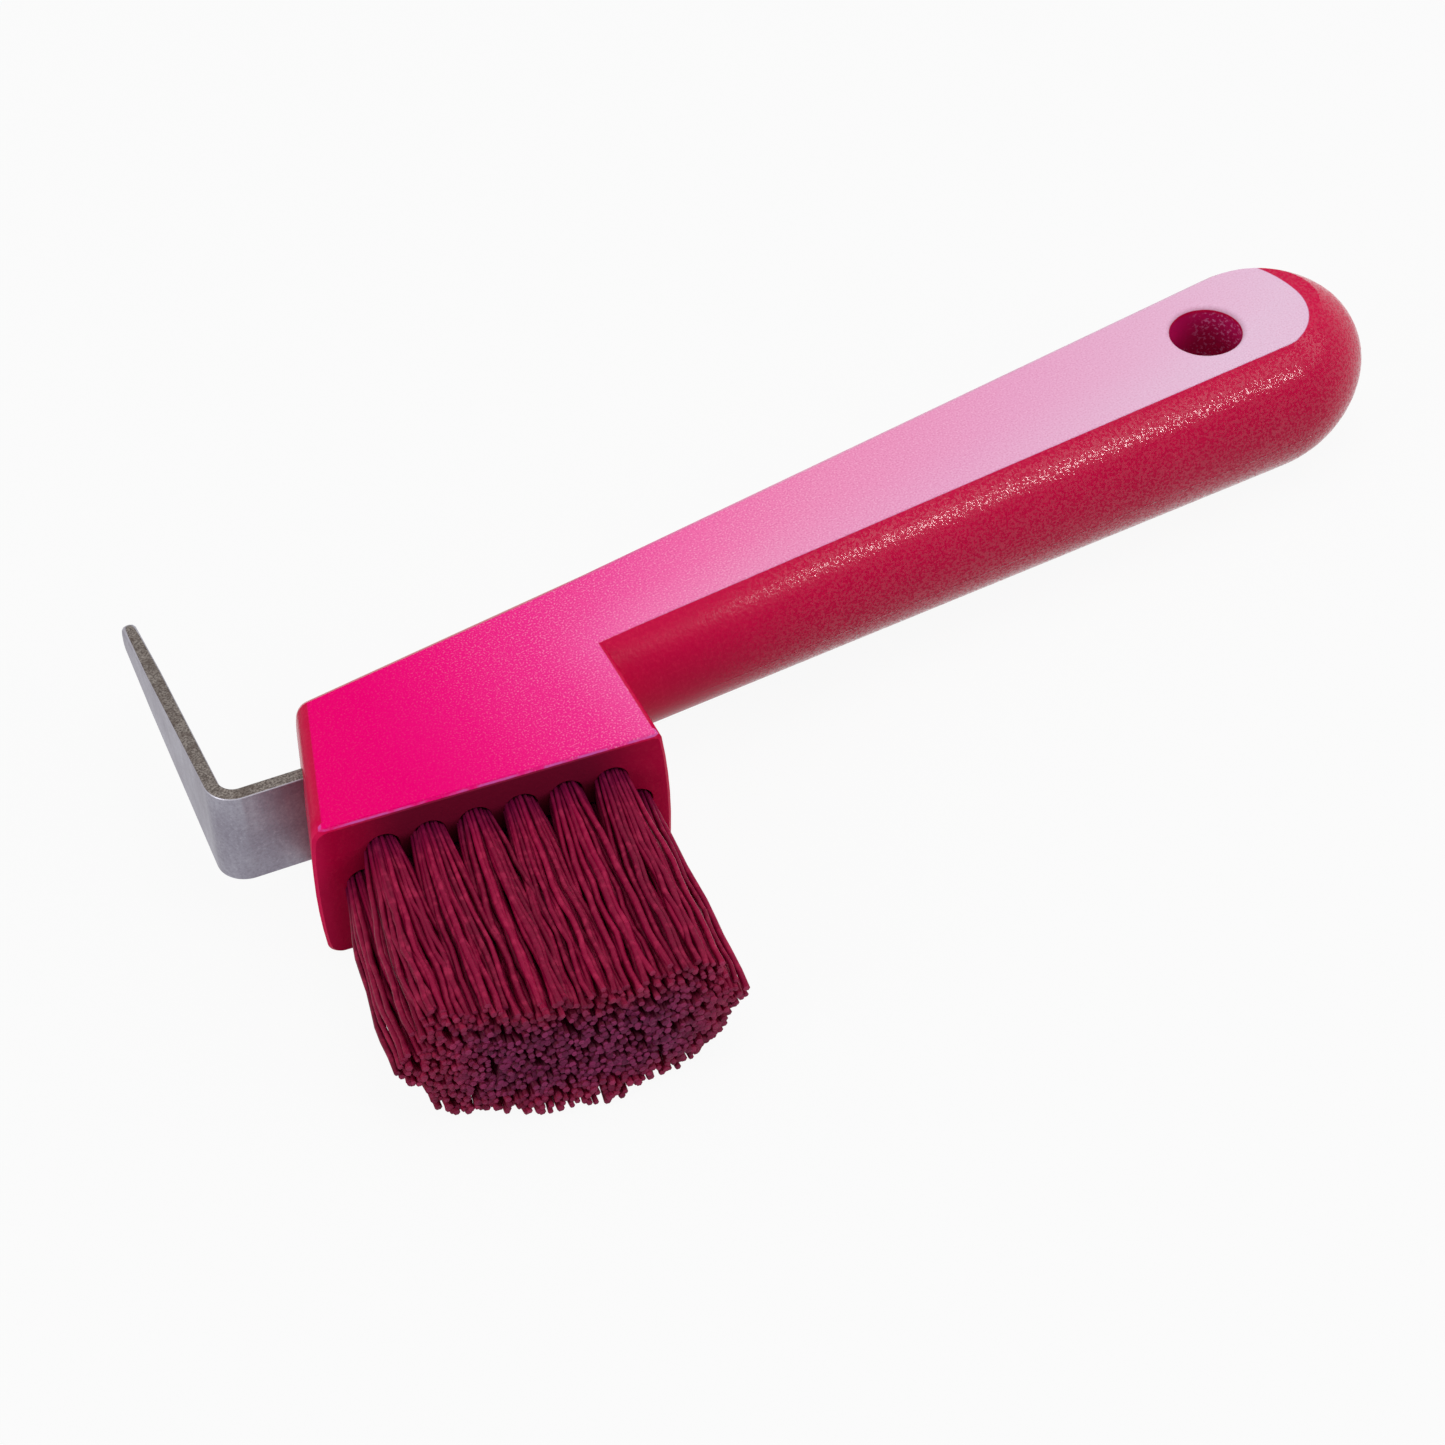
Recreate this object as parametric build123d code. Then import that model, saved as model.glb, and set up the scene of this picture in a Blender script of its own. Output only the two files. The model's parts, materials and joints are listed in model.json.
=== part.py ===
from build123d import *
import os
from math import atan, atan2, cos, degrees, hypot, pi, radians, sin, sqrt, tan

# A hoof pick: a moulded handle with a brush head, a bent steel pick and set-in tufts of bristle.
# Millimetres. While it is modelled, +X runs along the handle to its butt, the bristles point
# to -Y, Z = 0 is the upper flat, and X = 0 is the neck, where the handle leaves the head.

# Handle: a round tapered bar with a domed end, cut by a flat above and one below
NECK_RADIUS = 10.65         # bar at the neck
BUTT_RADIUS = 14.0          # bar where it is thickest, at the root of its domed end
SHOULDER_RADIUS = 19.0      # the domed end's first arc, seen from the side
NOSE_RADIUS = 12.0          # its second arc, a ball on the bar's axis
NECK_DEPTH = 8.95           # upper flat to the bar's axis at the neck
HANDLE_REACH = 101.8        # neck to the root of the domed end
FOOT_REACH = 113.0          # neck to where the lower flat comes level with the head's underside
HEAD_TAPER = 1.05           # half angle of the bar's slighter taper inside the head, degrees

# Hanging hole
HOLE_RADIUS = 5.0
HOLE_SETBACK = 6.8          # hole's axis to the root of the domed end
HOLE_ROUND = 0.8            # rounding of its upper rim
HOLE_BEVEL = 0.6            # bevel of its lower rim

# Brush head: a block that hangs below the bar, widest along its brush face
HEAD_THICKNESS = 22.3       # upper flat to the underside
FACE_LENGTH = 46.95         # brush face, end to end
FACE_TILT = 11.85           # brush face to the handle's axis, degrees
FACE_DROP = 24.7            # handle's axis to the face's corner beside the neck
FACE_SETBACK = 6.6          # neck to that same corner
TOE_ANGLE = 78.6            # inside corner of the block at the pick end, degrees
HEEL_ANGLE = 86.0           # inside corner of the block at the neck end, degrees
END_CROWN = 90.0            # radius of both ends, which bulge between the flats
BLOCK_BACK = 5.0            # how far the block runs past the handle's axis
TOE_ROUND = 2.2             # rounding of the pick end
HEEL_ROUND = 1.3            # rounding of the neck end
FACE_BEVEL = 0.5            # bevel round the brush face
BACK_BEVEL = 1.5            # bevel of the block's lower back edge

# Pick: flat steel strip bent once, its tang moulded into the head
SET_DEPTH = 10.7            # upper flat to the middle of the strip and of the tuft pattern
STRIP_WIDTH = 14.6
STRIP_THICKNESS = 2.0
PICK_TILT = 9.45            # first leg to the handle's axis, degrees
PICK_ANGLE = 90.0           # between the two legs, degrees
BEND_INSIDE = 2.0           # inside radius of the bend
PICK_EXIT = 14.35           # toe corner to the strip's middle, along the pick end
PICK_STANDOFF = 10.8        # pick end to the corner of the bend
PICK_REACH = 42.0           # corner of the bend to the tip
TAPER_START = 2.0           # corner of the bend to where the strip starts to narrow
TIP_WIDTH = 4.2
TIP_ROUND = 1.8
TANG_LENGTH = 27.0          # strip inside the head
TANG_HOLE_RADIUS = 3.5      # the moulding runs through this hole and locks the tang
TANG_HOLE_SETBACK = 8.0     # tang's end to the hole's centre
TANG_CORNER = 2.5
MOULD_GAP = 0.02            # shrinkage gap between the moulding and the metal set in it

# Tufts
ROWS = ("top", "middle", "lower")
MIDDLE_TUFTS = 7            # in the middle row; the rows beside it have one fewer
TUFT_PITCH = 6.0            # along a row
ROW_PITCH = 5.0             # between rows
TUFT_SHIFT = 0.8            # middle of the pattern past the face's middle, to the neck
TUFT_HOLE_RADIUS = 2.25
TUFT_HOLE_DEPTH = 11.0
ROOT_GAP = 0.05             # root plug to the hole's wall
ROOT_SINK = 0.3             # plug's outer end below the brush face
ROOT_SIDES = 12             # of the plug, which is the tuft's strands packed tight
BRISTLE_LENGTH = 34.0       # brush face to the tips in the middle of the brush
BRISTLE_RADIUS = 0.30       # corners of a strand's section to its middle
BRISTLE_SIDES = 3
INNER_STRANDS = 3           # strands in a tuft's innermost ring
RING_STEP = 5               # how many more strands each further ring has
RING_RADII = (0.45, 1.15, 1.80)
BRISTLE_LET_IN = 1.0        # strand's length inside the plug
FAN_ALONG = 0.14            # growth of the pattern along the rows, face to tips
FAN_ACROSS = 0.30           # the same across the rows
SPREAD_ALONG = 1.55         # growth of one tuft along the rows
SPREAD_ACROSS = 1.80        # the same across the rows
TRIM_DOME = 3.0             # how much shorter the outermost bristles are
TRIM_WAVE = 0.5             # unevenness of the trim

# Anchors: flat wire driven across each hole, over which the bristles are folded
ANCHOR_THICKNESS = 0.4
ANCHOR_HEIGHT = 2.4
ANCHOR_BITE = 0.25          # into the hole's wall, at each end
ANCHOR_LIFT = 1.0           # above the hole's flat bottom

BIG = 400.0                 # side of the blocks that cut a solid along a plane

half_head = HEAD_THICKNESS / 2
handle_tilt = degrees(atan((half_head - NECK_DEPTH) / FOOT_REACH))


def turned(angle):
    """Unit vector in the XY plane at an angle to +X, in degrees."""
    return Vector(cos(radians(angle)), sin(radians(angle)), 0)


# Corners and directions of the brush head, seen from above
upward = Vector(0, 0, 1)
face_along = turned(-FACE_TILT)                 # toe corner to heel corner
face_out = turned(-90 - FACE_TILT)              # the way the bristles point
toe_up = turned(TOE_ANGLE - FACE_TILT)          # up the pick end
heel_up = turned(180 - HEEL_ANGLE - FACE_TILT)  # up the neck end
toe_out = turned(TOE_ANGLE - FACE_TILT + 90)    # square to the pick end
heel_out = turned(90 - HEEL_ANGLE - FACE_TILT)  # square to the neck end
heel_corner = Vector(-FACE_SETBACK, -FACE_DROP, -half_head)
toe_corner = heel_corner - face_along * FACE_LENGTH

# The pick's first leg
pick_in = turned(-PICK_TILT)                    # along it into the head
pick_exit = toe_corner + toe_up * PICK_EXIT + upward * (half_head - SET_DEPTH)
tang_end = pick_exit + pick_in * TANG_LENGTH
bend_corner = pick_exit - pick_in * PICK_STANDOFF


def reach_line(start, direction, height):
    """The point where a line from start reaches a height along Y."""
    return start + direction * ((height - start.Y) / direction.Y)


def outside(point, normal):
    """A big block beyond the plane through a point."""
    block = Box(BIG, BIG, BIG, align=(Align.CENTER, Align.CENTER, Align.MIN))
    return Plane(origin=point, z_dir=normal) * block


def beyond_end(corner, out):
    """What lies beyond one crowned end of the head."""
    axis = Plane(origin=corner - out * END_CROWN, x_dir=out, z_dir=out.cross(upward))
    return outside(corner - out * TOE_ROUND, out) - axis * Cylinder(END_CROWN, BIG)


def furthest_face(solid, direction):
    """The face whose middle lies furthest along a direction."""
    return solid.faces().sort_by(lambda face: face.center().dot(direction))[-1]


def level_edges(face):
    """Those edges of a face that run level."""
    return [edge for edge in face.edges() if edge.bounding_box().size.Z < FACE_BEVEL]


def make_bar():
    """Tapered bar with a domed end and two flats, cut off and rounded at the pick end."""
    length = HANDLE_REACH / cos(radians(handle_tilt))
    taper = atan2(BUTT_RADIUS - NECK_RADIUS, length)
    start = toe_corner.X - HEAD_THICKNESS
    start_radius = NECK_RADIUS + start * tan(radians(HEAD_TAPER))
    neck, root = Vector(0, NECK_RADIUS), Vector(length, BUTT_RADIUS)
    shoulder_middle = root + Vector(sin(taper), -cos(taper)) * SHOULDER_RADIUS
    reach = SHOULDER_RADIUS - NOSE_RADIUS
    nose_middle = Vector(shoulder_middle.X + sqrt(reach**2 - shoulder_middle.Y**2), 0)
    meeting = nose_middle + (nose_middle - shoulder_middle).normalized() * NOSE_RADIUS
    crown = nose_middle + Vector(NOSE_RADIUS, 0)
    side = Polyline((start, 0), (start, start_radius), neck, root)
    shoulder = TangentArc(root, meeting, tangent=root - neck)
    nose = TangentArc(meeting, crown, tangent=shoulder % 1)
    profile = make_face(side + shoulder + nose + Line(crown, (start, 0)))
    bar = Pos(0, 0, -NECK_DEPTH) * Rot(0, handle_tilt, 0) * revolve(profile, Axis.X, 360)
    bar -= outside(Vector(0, 0, 0), upward)
    lower_flat = Pos(0, 0, -2 * NECK_DEPTH) * Rot(0, 2 * handle_tilt, 0)
    bar -= lower_flat * outside(Vector(0, 0, 0), -upward)
    bar -= beyond_end(toe_corner, toe_out)
    return fillet(furthest_face(bar, toe_out).edges(), TOE_ROUND)


def make_block():
    """Brush head's block with crowned ends and its edges rounded."""
    corners = [
        toe_corner - face_along * TOE_ROUND,
        heel_corner + face_along * TOE_ROUND,
        reach_line(heel_corner, heel_up, BLOCK_BACK) + face_along * TOE_ROUND,
        reach_line(toe_corner, toe_up, BLOCK_BACK) - face_along * TOE_ROUND,
    ]
    outline = make_face(Polyline(*[(c.X, c.Y) for c in corners], close=True))
    block = extrude(outline, -HEAD_THICKNESS)
    back = furthest_face(block, Vector(0, 1, 0))
    block = chamfer(back.edges().sort_by(Axis.Z)[0], BACK_BEVEL)
    for corner, out, size in ((toe_corner, toe_out, TOE_ROUND), (heel_corner, heel_out, HEEL_ROUND)):
        block -= beyond_end(corner, out)
        block = fillet(level_edges(furthest_face(block, out)), size)
    return chamfer(furthest_face(block, face_out).edges(), FACE_BEVEL)


def hole_rims(solid):
    """The hanging hole's level edges, from the lowest up."""
    rims = ShapeList()
    for edge in solid.edges():
        middle = edge.center(CenterOf.BOUNDING_BOX)
        near = hypot(middle.X - HANDLE_REACH + HOLE_SETBACK, middle.Y) < HOLE_RADIUS / 2
        if near and edge.bounding_box().size.Z < HOLE_RADIUS:
            rims.append(edge)
    return rims.sort_by(Axis.Z)


def strip_plane(start, direction):
    """Plane with X along the strip, Y up its width and Z through its thickness."""
    return Plane(origin=start, x_dir=direction, z_dir=direction.cross(upward))


def make_tang(gap=0.0):
    """The pick's pierced first leg, or with a gap the pocket that it is moulded into."""
    length = TANG_LENGTH + PICK_STANDOFF / 2
    plate = Pos(length / 2, 0) * Rectangle(length + 2 * gap, STRIP_WIDTH + 2 * gap)
    plate = fillet(plate.vertices().group_by(Axis.X)[0], TANG_CORNER + gap)
    plate -= Pos(TANG_HOLE_SETBACK, 0) * Circle(TANG_HOLE_RADIUS - gap)
    return strip_plane(tang_end, -pick_in) * extrude(plate, STRIP_THICKNESS / 2 + gap, both=True)


def make_blade():
    """Steel strip: pierced tang and first leg, bend and tapered second leg."""
    pick_up = turned(PICK_ANGLE - PICK_TILT)
    half_way = bend_corner + pick_in * (PICK_STANDOFF / 2)
    tip = bend_corner + pick_up * PICK_REACH
    middle_line = FilletPolyline(half_way, bend_corner, tip, radius=BEND_INSIDE + STRIP_THICKNESS / 2)
    start_plane = Plane(origin=half_way, x_dir=upward, z_dir=-pick_in)
    strip = sweep(start_plane * Rectangle(STRIP_WIDTH, STRIP_THICKNESS), middle_line)
    tip_outline = Polyline(
        (-PICK_REACH, -STRIP_WIDTH / 2),
        (TAPER_START, -STRIP_WIDTH / 2),
        (PICK_REACH, -TIP_WIDTH / 2),
        (PICK_REACH, TIP_WIDTH / 2),
        (TAPER_START, STRIP_WIDTH / 2),
        (-PICK_REACH, STRIP_WIDTH / 2),
        close=True,
    )
    tip_face = make_face(tip_outline)
    tip_face = fillet(tip_face.vertices().group_by(Axis.X)[-1], TIP_ROUND)
    mask = strip_plane(bend_corner, pick_up) * extrude(tip_face, BIG / 2, both=True)
    return make_tang() + (strip & mask)


def face_plane():
    """Plane on the brush face: X along the rows, Y up across them, Z the way bristles point."""
    middle = toe_corner + face_along * (FACE_LENGTH / 2 + TUFT_SHIFT)
    level = upward * (half_head - SET_DEPTH)
    return Plane(origin=middle + level, x_dir=face_along, z_dir=face_out)


def tuft_places():
    """Name and place of each tuft on the brush face, row by row."""
    places = []
    for row, label in enumerate(ROWS):
        across = ((len(ROWS) - 1) / 2 - row) * ROW_PITCH
        count = MIDDLE_TUFTS - (1 if across else 0)
        for index in range(count):
            along = (index - (count - 1) / 2) * TUFT_PITCH
            places.append((f"tuft_{label}_{index + 1}", along, across))
    return places


def strand_places():
    """Places of the strands in one tuft, at its root."""
    places = []
    for ring, radius in enumerate(RING_RADII):
        count = INNER_STRANDS + ring * RING_STEP
        for index in range(count):
            angle = 2 * pi * index / count
            places.append((radius * cos(angle), radius * sin(angle)))
    return places


def make_anchor(along, across, gap=0.0):
    """One anchor, or with a gap the slot that it fits."""
    width = 2 * (TUFT_HOLE_RADIUS + ANCHOR_BITE + gap)
    size = (width, ANCHOR_THICKNESS + 2 * gap, ANCHOR_HEIGHT + 2 * gap)
    height = ANCHOR_LIFT + ANCHOR_HEIGHT / 2 - TUFT_HOLE_DEPTH
    return face_plane() * Pos(along, across, height) * Box(*size)


def make_tuft(along, across):
    """Strands of one tuft, fused to the root plug that fills its drilled hole."""
    longest = MIDDLE_TUFTS / 2 * TUFT_PITCH
    plug_radius = TUFT_HOLE_RADIUS - ROOT_GAP
    plug_length = TUFT_HOLE_DEPTH - ROOT_SINK - ROOT_GAP
    bundle = Pos(along, across, -ROOT_SINK) * RegularPolygon(plug_radius, ROOT_SIDES)
    plug = extrude(bundle, -plug_length)
    root_level = -ROOT_SINK - BRISTLE_LET_IN
    strands = []
    for number, (x, y) in enumerate(strand_places()):
        root = Vector(along + x, across + y, root_level)
        tip_x = along * (1 + FAN_ALONG) + x * SPREAD_ALONG
        tip_y = across * (1 + FAN_ACROSS) + y * SPREAD_ACROSS
        wave = TRIM_WAVE * sin(7 * number + 3 * along + 5 * across)
        dome = TRIM_DOME * (tip_x / longest) ** 2 * (1 + (tip_y / ROW_PITCH / 2) ** 2) / 2
        height = BRISTLE_LENGTH - dome + wave
        share = (height - root_level) / (BRISTLE_LENGTH - root_level)
        tip = Vector(root.X + (tip_x - root.X) * share, root.Y + (tip_y - root.Y) * share, height)
        section = Plane(origin=root) * Rot(0, 0, 47 * number)
        end = section * RegularPolygon(BRISTLE_RADIUS, BRISTLE_SIDES)
        strands.append(Solid.extrude(end.face(), tip - root))
    tuft = plug.fuse(*strands)
    return face_plane() * tuft - make_anchor(along, across, MOULD_GAP)


def make_body():
    """Bar and head in one moulding, with the hanging hole, tuft holes, slots and tang pocket."""
    through = 2 * (BUTT_RADIUS + HEAD_THICKNESS)
    bar = make_bar() - Pos(HANDLE_REACH - HOLE_SETBACK, 0, 0) * Cylinder(HOLE_RADIUS, through)
    body = fillet(hole_rims(bar)[-1], HOLE_ROUND)
    body = chamfer(hole_rims(body)[0], HOLE_BEVEL) + make_block()
    for name, along, across in tuft_places():
        hole = Pos(along, across, -TUFT_HOLE_DEPTH / 2) * Cylinder(TUFT_HOLE_RADIUS, TUFT_HOLE_DEPTH)
        body -= face_plane() * hole
        body -= make_anchor(along, across, MOULD_GAP)
    return body - make_tang(MOULD_GAP)


def main():
    os.makedirs("parts", exist_ok=True)
    nodes = {"handle_body": make_body(), "pick_blade": make_blade()}
    anchors = []
    for name, along, across in tuft_places():
        nodes[name] = make_tuft(along, across)
        anchors.append(make_anchor(along, across))
    nodes["tuft_anchors"] = Compound(children=anchors)
    boxes = [node.bounding_box() for node in nodes.values()]
    low = [min(box.min.X for box in boxes), min(box.min.Y for box in boxes)]
    high = [max(box.max.X for box in boxes), max(box.max.Y for box in boxes)]
    floor = min(box.min.Z for box in boxes)
    to_origin = Pos(-(low[0] + high[0]) / 2, -(low[1] + high[1]) / 2, -floor)
    for name, node in nodes.items():
        export_step(to_origin * node, f"parts/{name}.step")
    print("origin moved by", to_origin.position)
    print("size", high[0] - low[0], high[1] - low[1], max(box.max.Z for box in boxes) - floor)


main()
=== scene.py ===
import json
import random
from math import cos, pi, radians, sin, sqrt
import bpy
import bmesh
from mathutils import Matrix, Vector


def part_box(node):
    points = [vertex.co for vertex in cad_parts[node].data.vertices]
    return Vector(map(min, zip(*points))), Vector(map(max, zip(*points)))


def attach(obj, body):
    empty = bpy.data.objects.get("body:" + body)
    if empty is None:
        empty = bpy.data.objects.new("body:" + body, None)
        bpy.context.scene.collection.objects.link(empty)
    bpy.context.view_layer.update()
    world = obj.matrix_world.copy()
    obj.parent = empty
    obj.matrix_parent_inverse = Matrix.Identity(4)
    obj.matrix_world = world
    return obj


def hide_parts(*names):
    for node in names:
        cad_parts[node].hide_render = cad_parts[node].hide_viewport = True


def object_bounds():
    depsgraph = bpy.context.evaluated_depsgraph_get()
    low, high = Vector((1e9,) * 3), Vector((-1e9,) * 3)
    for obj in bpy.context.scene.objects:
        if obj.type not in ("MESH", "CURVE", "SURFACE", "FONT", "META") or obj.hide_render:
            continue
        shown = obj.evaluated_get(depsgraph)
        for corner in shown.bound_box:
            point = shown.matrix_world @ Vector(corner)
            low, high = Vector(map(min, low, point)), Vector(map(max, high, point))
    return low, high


# A hoof pick on a plain pale floor. Lengths are millimetres times MM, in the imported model's frame.
MM = 0.001

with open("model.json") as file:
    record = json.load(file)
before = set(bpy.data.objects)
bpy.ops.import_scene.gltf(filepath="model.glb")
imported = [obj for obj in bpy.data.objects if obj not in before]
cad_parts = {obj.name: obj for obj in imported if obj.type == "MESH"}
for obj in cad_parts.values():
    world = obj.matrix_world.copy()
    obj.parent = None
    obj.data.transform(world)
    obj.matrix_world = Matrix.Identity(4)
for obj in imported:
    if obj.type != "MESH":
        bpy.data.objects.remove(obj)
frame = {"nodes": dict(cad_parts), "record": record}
cad_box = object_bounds()

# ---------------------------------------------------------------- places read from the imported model
NECK_TO_HOLE = 95.0         # along the handle, from the neck to the hanging hole's axis
hole = next(m for m in frame["record"]["mounts"] if m["name"] == "hang_hole")["pos_m"]
flat_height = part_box("handle_body")[1].z
NECK = Vector((hole[0] - NECK_TO_HOLE * MM, hole[1], flat_height))   # where the handle leaves the head
TUFTS = sorted(name for name in frame["nodes"] if name.startswith("tuft_") and name != "tuft_anchors")

FACE_TILT = radians(11.85)                       # brush face to the handle's axis
ALONG = Vector((cos(FACE_TILT), -sin(FACE_TILT), 0))
OUT = Vector((-sin(FACE_TILT), -cos(FACE_TILT), 0))
ACROSS = Vector((0, 0, 1))


# ---------------------------------------------------------------- camera, floor and light
AZIMUTH = radians(29.55)        # of the handle, turned from the picture's level
ELEVATION = radians(44.6)
ROLL = radians(-3.5)
DISTANCE = 537.5 * MM
AIM = Vector((0, -27.2, 0)) * MM                 # what the camera looks at, from the neck
SENSOR = 36.0                                    # its width, millimetres
FOCAL = 4300 / 1445 * SENSOR                     # 4300 px of focal length to 1445 px of picture
NEAREST = 0.01                                   # closest that the camera sees, metres
LIT = Vector((60, 0, 0)) * MM                    # what the lamps point at, from the neck
STREAK_LIE = (0.80, 0.10, -0.50)                 # the way the handle runs, as the camera sees it


def from_picture(right, near, up):
    """A direction given as the camera sees it (to the right, towards it, up) in the model's frame."""
    return Vector((
        right * cos(AZIMUTH) - near * sin(AZIMUTH),
        -right * sin(AZIMUTH) - near * cos(AZIMUTH),
        up,
    ))


def stand(name, data, axes, place):
    """Puts a camera or a lamp at a place, with the given three axes."""
    side, top, back = axes
    item = bpy.data.objects.new(name, data)
    item.matrix_world = Matrix((
        (side.x, top.x, back.x, place.x),
        (side.y, top.y, back.y, place.y),
        (side.z, top.z, back.z, place.z),
        (0, 0, 0, 1),
    ))
    bpy.context.scene.collection.objects.link(item)
    return item


def make_camera():
    right = from_picture(1, 0, 0)
    back = from_picture(0, cos(ELEVATION), sin(ELEVATION))
    up = back.cross(right)
    side = right * cos(ROLL) + up * sin(ROLL)
    top = up * cos(ROLL) - right * sin(ROLL)
    data = bpy.data.cameras.new("camera")
    data.sensor_width = SENSOR
    data.lens = FOCAL
    data.clip_start = NEAREST
    place = NECK + AIM + back * DISTANCE
    bpy.context.scene.camera = stand("camera", data, (side, top, back), place)


def make_lamp(name, way, distance, size, level, lie=(1, 0, 0)):
    """Soft lamp with its long side along lie; level is what it adds to a white sheet facing it."""
    away = from_picture(*way).normalized()
    long = from_picture(*lie)
    side = (long - away * away.dot(long)).normalized()
    data = bpy.data.lights.new(name, "AREA")
    data.shape = "RECTANGLE"
    data.size, data.size_y = size
    data.energy = level * pi * pi * distance * distance
    stand(name, data, (side, away.cross(side), away), NECK + LIT + away * distance)


# ---------------------------------------------------------------- materials
def linear(red, green, blue):
    """A display colour from 0 to 255 as a linear one."""
    out = []
    for value in (red, green, blue):
        share = value / 255
        out.append(share / 12.92 if share <= 0.04045 else ((share + 0.055) / 1.055) ** 2.4)
    return (*out, 1.0)


class Graph:
    """Node tree of one material, with short calls for the nodes used here."""

    def __init__(self, name):
        self.material = bpy.data.materials.new(name)
        self.material.use_nodes = True
        self.tree = self.material.node_tree
        self.shader = next(n for n in self.tree.nodes if n.type == "BSDF_PRINCIPLED")
        self.place = self.add("ShaderNodeTexCoord").outputs["Object"]

    def add(self, kind, **settings):
        node = self.tree.nodes.new(kind)
        for key, value in settings.items():
            setattr(node, key, value)
        return node

    def join(self, source, socket):
        if isinstance(source, bpy.types.NodeSocket):
            self.tree.links.new(source, socket)
        else:
            socket.default_value = source

    def math(self, operation, *values):
        node = self.add("ShaderNodeMath", operation=operation)
        for index, value in enumerate(values):
            self.join(value, node.inputs[index])
        return node.outputs[0]

    def times(self, first, *others):
        for other in others:
            first = self.math("MULTIPLY", first, other)
        return first

    def towards(self, x, y, way):
        """How far a place lies along a level direction."""
        return self.math("MULTIPLY_ADD", x, way.x, self.times(y, way.y))

    def ramp(self, value, low, high):
        """Smooth step from 0 at low to 1 at high."""
        node = self.add("ShaderNodeMapRange", interpolation_type="SMOOTHSTEP")
        for key, item in (("Value", value), ("From Min", low), ("From Max", high)):
            self.join(item, node.inputs[key])
        return node.outputs[0]

    def mix(self, factor, first, second):
        """Mix of two colours, each a socket or a display colour."""
        node = self.add("ShaderNodeMix", data_type="RGBA")
        self.join(factor, node.inputs[0])
        for index, colour in ((6, first), (7, second)):
            self.join(linear(*colour) if isinstance(colour, tuple) else colour, node.inputs[index])
        return node.outputs[2]

    def tint(self, colour, place, amount, shade):
        """A colour with up to the given amount of a shade where place is 1."""
        return self.mix(self.times(place, amount), colour, shade)

    def noise(self, scale, detail=2.0, rough=0.5, stretch=None):
        """Noise with so many grains to a metre."""
        node = self.add("ShaderNodeTexNoise")
        place = self.place
        if stretch:
            mapping = self.add("ShaderNodeMapping")
            self.join(place, mapping.inputs[0])
            mapping.inputs["Scale"].default_value = stretch
            place = mapping.outputs[0]
        self.join(place, node.inputs["Vector"])
        node.inputs["Scale"].default_value = scale
        node.inputs["Detail"].default_value = detail
        node.inputs["Roughness"].default_value = rough
        return node.outputs["Fac"]

    def stops(self, value, *stops):
        """Colour ramp through stops of (position, display colour)."""
        node = self.add("ShaderNodeValToRGB")
        elements = node.color_ramp.elements
        while len(elements) < len(stops):
            elements.new(0.5)
        for element, (position, colour) in zip(elements, stops):
            element.position = position
            element.color = linear(*colour)
        self.join(value, node.inputs[0])
        return node.outputs[0]

    def bump(self, height, distance, strength=1.0, normal=None):
        node = self.add("ShaderNodeBump")
        node.inputs["Strength"].default_value = strength
        node.inputs["Distance"].default_value = distance
        self.join(height, node.inputs["Height"])
        if normal:
            self.join(normal, node.inputs["Normal"])
        return node.outputs[0]

    def axes(self):
        """Object position from the neck, in millimetres, as three values."""
        shift = self.add("ShaderNodeVectorMath", operation="SUBTRACT")
        self.join(self.place, shift.inputs[0])
        shift.inputs[1].default_value = NECK
        scale = self.add("ShaderNodeVectorMath", operation="SCALE")
        self.join(shift.outputs[0], scale.inputs[0])
        scale.inputs["Scale"].default_value = 1 / MM
        split = self.add("ShaderNodeSeparateXYZ")
        self.join(scale.outputs[0], split.inputs[0])
        return split.outputs

    def set(self, **values):
        """Values or links of the shader's sockets; an underscore stands for a space."""
        for key, value in values.items():
            self.join(value, self.shader.inputs[key.replace("_", " ")])
        return self.material


# Lengths in millimetres from the neck, unless they say otherwise. A pair is where something starts
# and where it is full; a pair that falls runs the other way. Noise is grains to a metre, detail and
# roughness.

# print: where it ends
PRINT_END = 101.0           # middle of its round end
PRINT_END_RADIUS = 9.2
PRINT_OVER = 0.72           # the end's roundness on its far side
PRINT_END_SOFT = 0.08       # half width of its soft outline round that end
PRINT_EDGE = 0.10           # how far the print runs down over the flat's edges
PRINT_IN_HOLE = 0.45        # further down, at the hanging hole
PRINT_TO_FACE = 0.24        # further down, over the bevel above the bristles
PRINT_RUN = 1.3             # further down, over the handle's far shoulder
PRINT_SOFT = 0.035          # half height of its soft outline on all of these
RAGGED = 0.05               # how uneven that outline is
RAGGED_NOISE = (1400, 2.0)
HOLE_REACH = 6.3            # round the hanging hole's axis
FAR_SHOULDER = (4.5, 5.5)   # across the handle
RUN_START = (-12.0, 12.0)
RUN_STOP = (PRINT_END + 7.5, PRINT_END - 6.0)
AT_BEVEL = (-1.6, -1.2)     # bevel above the bristles, from the brush face

# print: its colours
PRINT_STOPS = (
    (-46.0, (231, 0, 105)),
    (-36.0, (232, 0, 111)),
    (-24.0, (234, 14, 121)),
    (-12.0, (236, 41, 136)),
    (0.0, (237, 80, 155)),
    (12.0, (238, 107, 168)),
    (30.0, (234, 137, 182)),
    (62.0, (229, 160, 197)),
    (108.0, (225, 190, 214)),
)
GRADIENT_START = PRINT_STOPS[0][0]
GRADIENT_LENGTH = 160.0
SKEW_REACH = 6.0            # the colours run askew this far to both sides of the middle
SKEW_HEAD = 0.35            # by how much, for each millimetre sideways
SKEW_HANDLE = 0.65          # further skew on the handle
SKEW_NEAR = 1.3             # and on its near side
SKEW_START = (-14.0, 4.0)
SPECK_NOISE = (3900, 1.0, 0.5)
SPECK_LIGHT = (0.50, 0.75)  # values of the noise that show as light specks
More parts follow.
